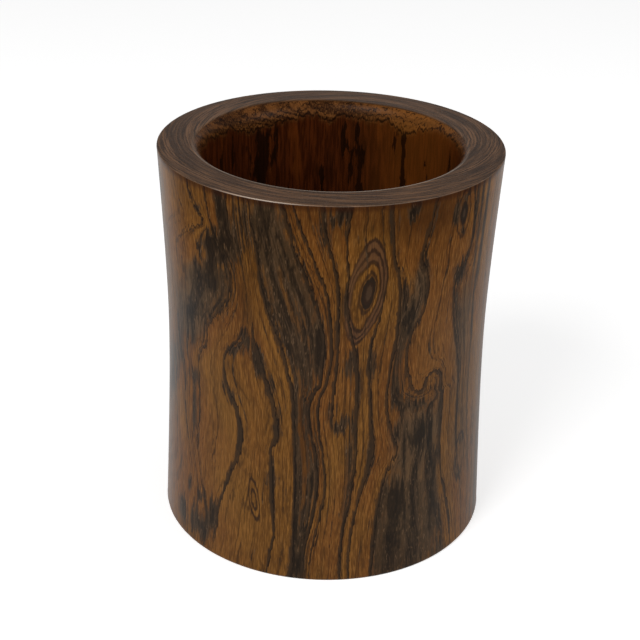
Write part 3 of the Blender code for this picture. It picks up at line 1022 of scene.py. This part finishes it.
def wall_material():
    """The figured wood of the wall, from the fields that make_wall stores."""
    graph = Graph("wall_wood")
    mix = graph.mix
    larger = graph.larger
    streaks = graph.streaks
    level, pitch, ink, rise, ring, end, bore, depth, lip_line = map(
        graph.attribute, ("level", "pitch", "ink", "rise", "ring", "end", "bore", "depth", "lip"))
    eye, eye_rings, eye_gap, eye_core, eye_rise = map(
        graph.attribute, ("eye", "eye_rings", "eye_gap", "eye_core", "eye_rise"))
    dark, dark_rise, tone, greying_and_sheen, edge, shine = map(
        graph.attribute, ("dark", "dark_rise", "tone", "greying_and_sheen", "edge", "shine"))
    grain = graph.attribute("grain", "Vector")
    place = graph.millimetres()

    # Fibre runs straight up the log, at three widths. The figure is torn along
    # it: columns of fibre slide its lines up and down by a few millimetres.
    hair = streaks(place, 0.10, 2.3, 1.0, 0.5)
    fibre = streaks(place, 0.07, 1.0, 2.0, 0.6)
    curl = streaks(place, 0.5, 0.45, 2.0, 0.6)
    tear = streaks(place, 0.05, 0.8, 3.0, 0.7).centred(10.0)
    blotch = streaks(place, 0.4, 0.22)
    speck = streaks(place, 0.2, 1.7, 1.0, 0.5)
    # Colour follows the growth lines.
    strand = streaks(grain, 0.03, 0.75, 2.0, 0.6)
    thread = streaks(grain, 0.03, 1.8, 1.0, 0.5)
    broad = streaks(grain, 0.10, 0.14)
    drift = streaks(grain, 0.45, 0.045)
    vein_noise = streaks(grain, 0.06, 0.15)

    # Growth lines, one on each whole level. One side is sharp, and the other
    # fades into a dark halo.
    shift = (hair.centred(0.6) + fibre.centred(1.2) + curl.centred(1.7)) / pitch
    moved = level + (rise * tear + shift)
    width = broad.step(0.3, 0.7, 0.7, 1.2) * ink.step(0.0, 2.0, 0.3, 1.7)
    near = moved.pingpong(0.5) * pitch / width
    line = near.step(0.5, 0.92, 1.0, 0.0) * fibre.step(0.25, 0.45, 0.6, 1.0) * ink.step(0.05, 0.7)
    behind = graph.math("FRACT", moved) * pitch
    core = abs(width * -0.5 + behind).step(0.1, 0.38, 1.0, 0.0) * ink.step(0.1, 0.8)
    halo = behind.step(0.0, 3.5, 1.0, 0.0) * (broad + fibre.centred(0.5)).step(0.4, 0.7) * ink.step(0.1, 0.8)
    # Finer lines between them, more of them in the dark zones.
    crowd = dark * 0.35 + broad.centred(0.8)
    half = moved.pingpong(0.25) * pitch
    half_line = half.step(0.12, 0.5, 1.0, 0.0) * (strand + crowd).step(0.44, 0.58)
    eighth = (moved + 0.0625).pingpong(0.125) * pitch
    eighth_line = eighth.step(0.1, 0.4, 1.0, 0.0) * (thread + crowd).step(0.52, 0.64)
    fine_line = larger(half_line, eighth_line * 0.7) * eye.step(0.9, 1.1)
    vein = abs(vein_noise + fibre.centred(0.05) - 0.5).step(0.002, 0.018, 1.0, 0.0) * curl.step(0.35, 0.6)

    # Eye rings: a line on every whole count out from a dark core.
    eye_shift = (hair.centred(0.3) + (curl.centred(1.0) + fibre.centred(0.5))) / eye_gap
    eye_phase = (eye_rise * (tear * 0.15) + eye) * eye_rings + eye_shift
    within = eye_rings - eye_phase
    eye_width = graph.math("MINIMUM", eye_gap * 0.65, 1.0)
    eye_line = (eye_phase.pingpong(0.5) * eye_gap / eye_width).step(0.15, 0.55, 1.0, 0.0)
    eye_line = eye_line * broad.step(0.35, 0.6, 0.55, 1.0)
    eye_line = eye_line * within.step(-0.5, -0.3) * eye_phase.step(0.4, 0.6)
    core_depth = eye_core * eye_rings - eye_phase
    eye_fill = core_depth.step(-0.1, 0.1)
    eye_rim = eye_fill * core_depth.step(0.75, 0.4)
    inside_eye = within.step(-0.2, 0.1) * eye_phase.step(2.95, 3.2)

    # Dark zones: a grey-brown ground with dark strands, more of them where the
    # cloud is stronger, and edges torn along the fibre.
    body = dark_rise * (tear * 2.8) + dark
    torn = body + (fibre.centred(0.6) + hair.centred(0.3)) + curl.centred(0.7) + blotch.centred(0.5)
    halo_torn = torn + halo * 0.3
    smoke = (halo_torn + strand.centred(1.2)).step(0.12, 0.62)
    strands = (halo_torn + strand.centred(3.4)).step(0.52, 0.76)
    zone = larger(strands, torn.step(0.70, 0.80) * 0.8)
    outline = abs(body + fibre.centred(0.5) + curl.centred(0.6) - 0.33).step(0.02, 0.09, 1.0, 0.0)
    marks = larger(fine_line, outline * broad.step(0.4, 0.6, 0.1, 0.8))
    greying_and_sheen_torn = greying_and_sheen + (fibre.centred(0.5) + blotch.centred(0.7))
    grey_wood_and_sheen = graph.paint(
        mix(strand.step(0.38, 0.62), (72, 55, 38), (50, 38, 26)),
        (hair.step(0.5, 0.68, 0.0, 0.4), (98, 74, 50)))
    dark_wood = graph.paint(
        mix(strand.step(0.40, 0.60), (48, 36, 23), (27, 20, 13)),
        (thread.step(0.52, 0.66, 0.0, 0.5), (70, 53, 37)),
        (hair.step(0.5, 0.68, 0.0, 0.4), (74, 55, 38)),
        (speck.step(0.60, 0.72, 0.0, 0.45), (104, 80, 57)),
        (torn.step(1.0, 1.3) * 0.85, (17, 13, 9)))

    # End grain on the rim and the foot: fine rings around the pith.
    flat_place = graph.scaled(place, 0.032, 0.032, 0.0)
    flat_x = graph.part(flat_place, "X")
    flat_y = graph.part(flat_place, "Y")
    ring_moved = ring + (curl.centred(0.9) + fibre.centred(0.5))
    ring_space = graph.combine(flat_x, flat_y, ring_moved)
    fine_rings = graph.noise(ring_space, 1.4, 2.0, 0.7)
    broad_rings = graph.noise(ring_space, 0.32, 2.0, 0.6)
    ring_line = (ring_moved * 0.75).pingpong(0.5).step(0.06, 0.2, 1.0, 0.0)
    ring_line = ring_line * fine_rings.step(0.35, 0.6, 0.2, 0.8)
    end_wood = graph.paint(
        mix(fine_rings.step(0.36, 0.64), (44, 28, 16), (115, 82, 56)),
        (broad_rings.step(0.42, 0.66, 0.0, 0.65), (48, 31, 19)),
        (hair.step(0.5, 0.72, 0.0, 0.4), (112, 82, 58)),
        (ring_line * 0.6, (34, 21, 13)))

    # The bore: red-brown wood, darkened as painted shade down the bore, with an orange-brown lip above a
    # torn dark contour.
    hang = lip_line + streaks(place, 0.15, 0.34, 3.0, 0.7).centred(9.0)
    lip = hang.step(3.0, -2.0)
    contour = abs(hang).step(0.2, 0.9, 1.0, 0.0) * curl.step(0.35, 0.5, 0.3, 1.0)
    upper = (hang.pingpong(1.2) * lip).step(0.14, 0.45, 1.0, 0.0) * lip * curl.step(0.36, 0.5)
    lip_rings = graph.noise(graph.combine(flat_x, flat_y, ring_moved + depth), 0.9, 2.0, 0.6)
    mottle = streaks(place, 0.2, 0.16, 3.0, 0.65)
    inner_dark = (torn + strand.centred(0.9)).step(0.42, 0.62)
    lip_wood = graph.paint(
        mix(lip_rings.step(0.42, 0.58), (52, 28, 11), (96, 58, 27)),
        (mottle.step(0.48, 0.64, 0.0, 0.5), (46, 24, 10)),
        (hair.step(0.5, 0.66, 0.0, 0.4), (126, 82, 42)),
        (tone.step(0.0, -1.0, 0.0, 0.5), (134, 82, 32)))
    # Painted shade: the bore's red-brown is kept darker than the wood's own colour, for the shade deep
    # inside it.
    inner_wood_and_shade = graph.paint(
        mix(fibre.step(0.36, 0.64), (45, 17, 4), (70, 30, 8)),
        (mottle.step(0.5, 0.66, 0.0, 0.5), (28, 11, 3)),
        (mottle.step(0.45, 0.3, 0.0, 0.5), (92, 44, 12)),
        (tone.step(0.0, -1.0, 0.0, 0.32), (118, 66, 19)),
        (lip, lip_wood),
        (larger(larger(contour, upper), inner_dark) * 0.85, (18, 8, 3)))

    # All of it laid over plain wood, from the ground up. Near the end comes the painted shade under the rim,
    # and last the painted highlight on the rim's edges.
    outer_face = 1.0 - larger(end.step(0.2, 0.6), bore)
    # Painted shade: the top of the wall darkened and reddened just under the rim's edge.
    painted_top_shade = graph.part(place, "Z").step(*TOP_SHADE_BAND)
    wood = graph.paint(
        mix(strand.step(0.3, 0.7), (108, 71, 28), (85, 54, 20)),
        (drift.step(0.4, 0.6, 0.0, 0.75), (91, 53, 21)),
        (fibre.step(0.38, 0.6, 0.5, 0.0), (64, 39, 14)),
        (hair.step(0.52, 0.68, 0.0, 0.32), (136, 94, 46)),
        (hair.step(0.45, 0.3, 0.0, 0.42), (46, 27, 10)),
        (tone.step(0.0, 1.0, 0.0, 0.8), (54, 29, 9)),
        (tone.step(0.0, -1.0, 0.0, 0.6), (126, 91, 45)),
        (smoke * 0.68, (57, 41, 28)),
        # Painted sheen towards the two sides, and grey patches of the wood nearer the front.
        (greying_and_sheen_torn.step(0.1, 0.95, 0.0, 0.85), grey_wood_and_sheen),
        (vein * 0.5, (40, 25, 10)),
        (inside_eye * 0.65, (68, 47, 34)),
        (eye_fill * 0.9, (50, 38, 29)),
        (eye_rim * 0.75, (24, 18, 13)),
        (marks * 0.7, (34, 22, 12)),
        (eye_line * 0.85, (34, 22, 15)),
        (zone * 0.9, dark_wood),
        (line * outer_face * 0.82, (43, 31, 20)),
        (core * outer_face * 0.8, (20, 13, 8)),
        (painted_top_shade * 0.6, (38, 15, 6)),
        (end, end_wood),
        (bore, inner_wood_and_shade),
        # Painted highlight: a near-white line along the rim's two edges.
        (edge * 0.9, (226, 206, 186)))
    facing = graph.made("LayerWeight", "Facing", {"Blend": 0.5})
    gloss = larger(facing.step(0.55, 0.95, 0.05, 0.09) * shine, edge * 0.5)
    return graph.surface(wood, fibre * 0.2 + 0.24, fibre + hair, 0.25, 0.0002, gloss)


def board_material():
    """Long grain across the board: fibre along X, growth bands across it."""
    graph = Graph("base_wood")
    place = graph.millimetres()
    warp = graph.noise(graph.scaled(place, 0.2, 1.0, 1.0), 0.05)
    across = graph.part(place, "Y") + warp * 40.0
    space = graph.combine(graph.part(place, "X") * 0.05, across, graph.part(place, "Z") * 0.3)
    fibre = graph.noise(graph.scaled(place, 0.06, 1.0, 0.5), 1.6, 2.0, 0.6)
    pores = graph.noise(graph.scaled(place, 0.12, 1.0, 1.0), 2.6, 1.0, 0.5)
    bands = graph.ramp(graph.noise(space, 0.22, 3.0, 0.6), [
        (0.28, (44, 27, 14)), (0.42, (84, 52, 24)), (0.50, (104, 68, 32)), (0.56, (58, 36, 18)),
        (0.62, (96, 60, 28)), (0.74, (70, 42, 20))])
    wood = graph.paint(
        bands,
        (fibre.step(0.36, 0.6, 0.55, 0.0), (48, 29, 13)),
        (pores.step(0.4, 0.28, 0.0, 0.7), (28, 17, 9)),
        (pores.step(0.58, 0.72, 0.0, 0.35), (136, 96, 54)))
    return graph.surface(wood, fibre * 0.3 + 0.4, fibre + pores, 0.3, 0.0002, 0.2)


def plug_material():
    """End grain: rings around a point off the plug's own centre, and fine rays."""
    graph = Graph("plug_wood")
    place = graph.millimetres()
    east = graph.part(place, "X") + 3.0
    north = graph.part(place, "Y") - 2.0
    pith = graph.math("SQRT", east * east + north * north)
    speckle = graph.streaks(place, 0.1, 3.0, 2.0, 0.6)
    drift = graph.streaks(place, 0.1, 0.3)
    around = graph.math("ARCTAN2", north, east)
    rays = graph.noise(graph.combine(around * 9.0, pith * 0.2, 0.0), 2.4)
    ring = ((pith + drift * 2.0) * 0.9).pingpong(0.5)
    wood = graph.paint(
        graph.mix(drift.step(0.35, 0.65), (62, 38, 20), (86, 54, 28)),
        (ring.step(0.05, 0.2, 0.7, 0.0), (34, 20, 11)),
        (rays.step(0.55, 0.7, 0.0, 0.4), (108, 72, 40)),
        (speckle.step(0.4, 0.3, 0.0, 0.8), (24, 14, 8)))
    return graph.surface(wood, speckle * 0.3 + 0.4, speckle + ring, 0.3, 0.0002, 0.2)


def bamboo_material():
    """Straw-coloured fibre along the pin, with dark bundles that show on its end."""
    graph = Graph("pin_bamboo")
    place = graph.millimetres()
    strip = graph.streaks(place, 0.03, 5.0, 2.0, 0.6)
    bundle_space = graph.scaled(place, 1.0, 1.0, 0.04)
    bundle = graph.made("TexVoronoi", "Distance", {"Vector": bundle_space, "Scale": 3.4})
    stain = graph.noise(place, 0.35)
    wood = graph.paint(
        graph.mix(strip.step(0.35, 0.65), (150, 116, 66), (196, 162, 104)),
        (bundle.step(0.22, 0.4, 0.75, 0.0), (86, 58, 28)),
        (stain.step(0.45, 0.65, 0.0, 0.5), (112, 82, 44)))
    return graph.surface(wood, strip * 0.3 + 0.4, strip, 0.3, 0.0001, 0.25)


def add_piece(name, mesh, material, nodes):
    piece = add_object(name, mesh)
    mesh.materials.append(material)
    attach(piece, "root")
    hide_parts(*nodes)


add_piece("wall_figured", make_wall(), wall_material(), ["turned_wall"])
add_piece("board_turned", make_board(), board_material(), ["base_board"])
add_piece("plug_turned", make_plug(), plug_material(), ["centre_plug"])
bamboo = bamboo_material()
for pin in range(len(PIN_ANGLES)):
    add_piece(f"pin_whittled_{pin + 1}", make_pin(pin), bamboo, [f"base_pin_{pin + 1}"])

# -------------------------------------------------------------------- studio


def make_floor():
    mesh = bpy.data.meshes.new("floor")
    half = FLOOR_HALF_SIZE
    corners = [(-half, -half, 0), (half, -half, 0), (half, half, 0), (-half, half, 0)]
    mesh.from_pydata(corners, [], [(0, 1, 2, 3)])
    floor = add_object("floor", mesh)
    graph = Graph("floor")
    inputs = graph.shader.inputs
    inputs["Base Color"].default_value = (0.8, 0.8, 0.8, 1.0)
    inputs["Roughness"].default_value = 0.9
    inputs["Specular IOR Level"].default_value = 0.1
    inputs["Emission Color"].default_value = (1.0, 1.0, 1.0, 1.0)
    inputs["Emission Strength"].default_value = 0.56
    mesh.materials.append(graph.material)


def add_area(name, location, size, power):
    """A square soft light that points at the middle of the pot."""
    light = bpy.data.lights.new(name, "AREA")
    light.shape = "RECTANGLE"
    light.size = size
    light.size_y = size
    light.energy = power
    lamp = add_object(name, light)
    lamp.location = location
    lamp.rotation_euler = (POT_MIDDLE - Vector(location)).to_track_quat("-Z", "Y").to_euler()


def make_world():
    """A pale room: bright around the horizon and darker overhead."""
    world = bpy.data.worlds.new("studio")
    world.use_nodes = True
    tree = world.node_tree
    direction = tree.nodes.new("ShaderNodeTexCoord")
    split = tree.nodes.new("ShaderNodeSeparateXYZ")
    ramp = tree.nodes.new("ShaderNodeValToRGB")
    background = tree.nodes["Background"]
    tree.links.new(direction.outputs["Generated"], split.inputs[0])
    tree.links.new(split.outputs["Z"], ramp.inputs["Fac"])
    horizon, overhead = ramp.color_ramp.elements
    horizon.position = 0.0
    horizon.color = (0.95, 0.95, 0.95, 1.0)
    overhead.position = 0.75
    overhead.color = (0.35, 0.35, 0.35, 1.0)
    tree.links.new(ramp.outputs["Color"], background.inputs["Color"])
    background.inputs["Strength"].default_value = 0.6
    bpy.context.scene.world = world


def make_camera():
    """The camera at the photograph's viewing angle."""
    camera = bpy.data.cameras.new("camera")
    camera.sensor_width = CAMERA_SENSOR
    camera.lens = CAMERA_LENS
    camera.clip_start = 0.01
    eye = add_object("camera", camera)
    tilt, pan, roll = (math.radians(value) for value in (CAMERA_TILT, CAMERA_PAN, CAMERA_ROLL))
    turn = Matrix.Rotation(pan, 4, "Z") @ Matrix.Rotation(math.radians(90.0) - tilt, 4, "X")
    eye.matrix_world = Matrix.Translation(CAMERA_PLACE) @ (turn @ Matrix.Rotation(roll, 4, "Z"))
    bpy.context.scene.camera = eye


make_floor()
make_world()
add_area("key", (-0.9, -1.2, 1.3), 1.0, 22.0)
add_area("fill", (1.2, -0.6, 0.9), 0.8, 8.0)
make_camera()
bpy.context.scene.view_settings.view_transform = "Standard"
